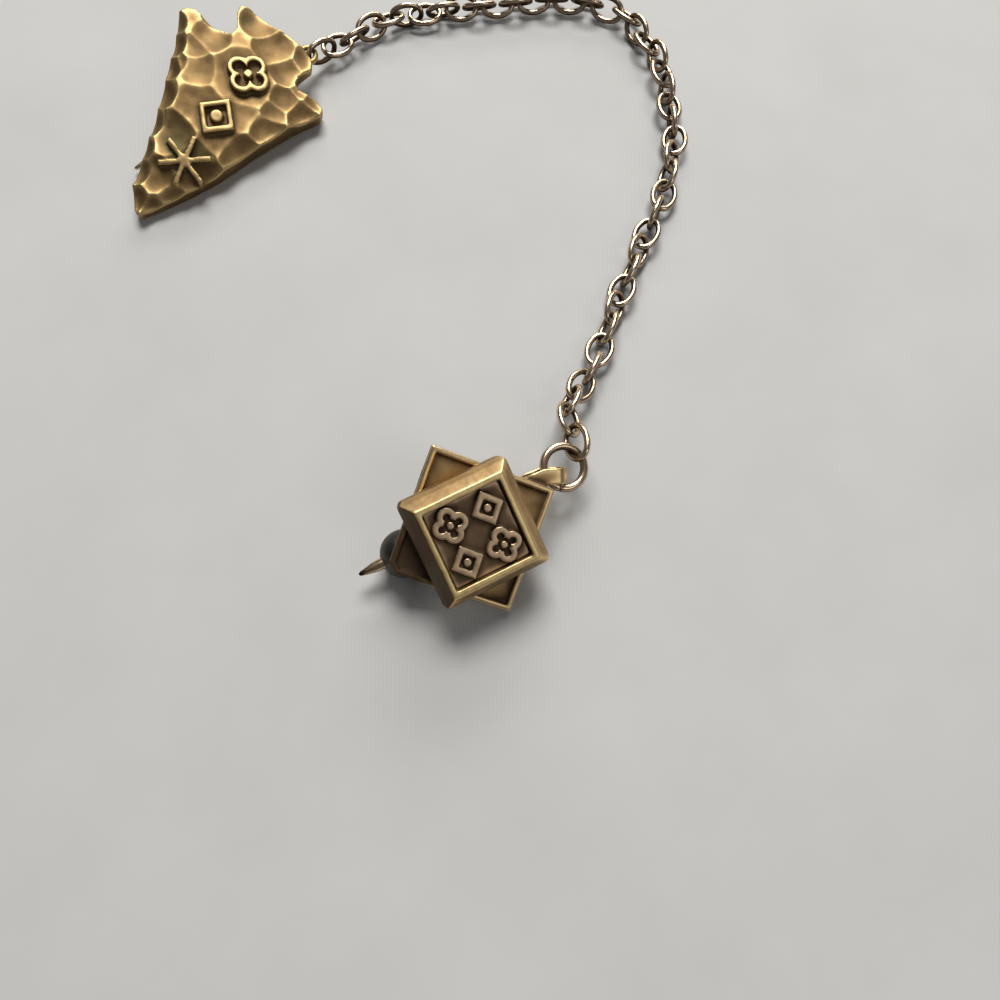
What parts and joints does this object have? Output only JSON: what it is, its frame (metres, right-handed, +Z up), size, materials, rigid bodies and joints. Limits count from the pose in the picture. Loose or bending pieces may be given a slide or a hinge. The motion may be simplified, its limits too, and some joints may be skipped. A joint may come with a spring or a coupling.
{
  "type": "badge pin with chain guard",
  "caption": "Antique gold arrowhead badge pin on a long cable chain, joined by a jump ring to a square bevelled guard pin on a star plate",
  "frame": {"origin": "middle of the footprint's box, on the surface that the pin lies on", "axes": "+Z up from the surface, +X to the right and +Y away from the viewer as the pin lies in the picture"},
  "size_m": [0.0478, 0.0592, 0.0078],
  "materials": {
    "antique_brass": "cast, antique gold, dark patina in the hollows",
    "bright_brass": "polished bevels, softly worn",
    "dark_brass": "dark patinated field with polished raised lines",
    "chain_gold": "polished pale gold wire",
    "pin_brass": "drawn wire, satin",
    "gunmetal": "blued, glossy"
  },
  "bodies": {
    "root": {"arrowhead": "antique_brass", "arrowhead_pin": "pin_brass", "link_01": "chain_gold", "link_02": "chain_gold", "link_03": "chain_gold", "link_04": "chain_gold", "link_05": "chain_gold", "link_06": "chain_gold", "link_07": "chain_gold", "link_08": "chain_gold", "link_09": "chain_gold", "link_10": "chain_gold", "link_11": "chain_gold", "link_12": "chain_gold", "link_13": "chain_gold", "link_14": "chain_gold", "link_15": "chain_gold", "link_16": "chain_gold", "link_17": "chain_gold", "link_18": "chain_gold", "link_19": "chain_gold", "link_20": "chain_gold", "link_21": "chain_gold", "link_22": "chain_gold", "link_23": "chain_gold", "link_24": "chain_gold", "link_25": "chain_gold", "link_26": "chain_gold", "link_27": "chain_gold", "link_28": "chain_gold", "link_29": "chain_gold", "link_30": "chain_gold", "link_31": "chain_gold", "link_32": "chain_gold", "link_33": "chain_gold", "link_34": "chain_gold", "link_35": "chain_gold", "link_36": "chain_gold", "link_37": "chain_gold", "link_38": "chain_gold", "link_39": "chain_gold", "link_40": "chain_gold", "link_41": "chain_gold", "link_42": "chain_gold", "jump_ring": "chain_gold", "guard_star": "antique_brass", "guard_frame": "bright_brass", "guard_panel": "dark_brass", "guard_catch": "gunmetal", "guard_pin": "pin_brass"}
  },
  "joints": []
}
